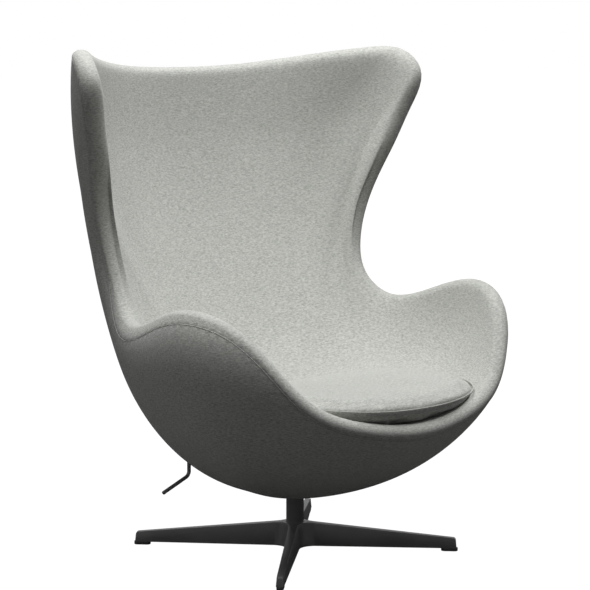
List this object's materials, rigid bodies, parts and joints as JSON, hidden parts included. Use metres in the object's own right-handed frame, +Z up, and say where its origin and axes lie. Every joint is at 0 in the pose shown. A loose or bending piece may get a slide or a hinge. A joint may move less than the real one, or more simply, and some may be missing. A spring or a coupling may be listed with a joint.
{
  "type": "swivel lounge chair",
  "caption": "Upholstered egg-shaped lounge chair with high wings, loose seat pad and lever-braked tilt, swivelling on a black star base.",
  "frame": {"origin": "on the floor, under the glides, on the swivel axis", "axes": "+Z up along the swivel axis, the sitter looks along -Y, +X is the sitter's left"},
  "size_m": [0.9308, 0.821, 1.0665],
  "materials": {
    "black_base": "satin powder coat",
    "black_glide": "matt",
    "zinc_steel": "zinc plated",
    "bearing_plastic": "smooth",
    "cast_head": "painted casting",
    "black_steel": "satin powder coat",
    "rubber_pad": "matt",
    "spring_steel": "oiled",
    "moulded_core": "glass fibre moulding",
    "board": "raw ply",
    "foam": "cold-cured foam",
    "wool": "melange wool weave",
    "seam_thread": "stitched seam"
  },
  "bodies": {
    "base": {"star_base": "black_base", "glide_back_left": "black_glide", "glide_back_right": "black_glide", "glide_front_right": "black_glide", "glide_front_left": "black_glide", "glide_screws": "zinc_steel", "column_tube": "black_steel", "column_plug": "zinc_steel", "base_bolt": "zinc_steel", "base_washer": "zinc_steel", "column_bush_lower": "bearing_plastic", "column_bush_upper": "bearing_plastic", "thrust_washer": "bearing_plastic"},
    "swivel": {"spindle": "zinc_steel", "retaining_ring": "zinc_steel", "swivel_head": "cast_head", "back_stop_pad": "rubber_pad", "rest_pad": "rubber_pad", "pivot_pin": "zinc_steel", "pivot_clips": "zinc_steel", "tilt_spring_left": "spring_steel", "tilt_spring_right": "spring_steel"},
    "shell": {"pivot_bushes": "bearing_plastic", "tilt_bracket": "black_steel", "bracket_bolts": "zinc_steel", "threaded_inserts": "zinc_steel", "shell_core": "moulded_core", "outer_foam": "foam", "outer_cover": "wool", "rim_seam": "seam_thread", "inner_foam": "foam", "inner_cover": "wool", "bay_cover": "board", "column_trim": "bearing_plastic", "lever_tube": "black_steel", "cushion_foam": "foam", "cushion_top_cover": "wool", "cushion_under_cover": "wool", "cushion_seam": "seam_thread"},
    "lever": {"lever_rod": "black_steel", "brake_cam": "cast_head"}
  },
  "joints": [
    {"name": "swivel", "type": "hinge", "parent": "base", "child": "swivel", "pos_m": [0, 0, 0], "axis": [0, 0, 1], "continuous": true},
    {"name": "tilt", "type": "hinge", "parent": "swivel", "child": "shell", "pos_m": [0, 0, 0.205], "axis": [-1, 0, 0], "range_deg": [0, 12], "stiffness_Nm_per_rad": 250, "springref_deg": -14.32, "deforming": ["tilt_spring_left", "tilt_spring_right"]},
    {"name": "tilt_brake", "type": "hinge", "parent": "shell", "child": "lever", "pos_m": [-0.243, 0.055, 0.248], "axis": [1, 0, 0], "range_deg": [-12, 12]}
  ]
}
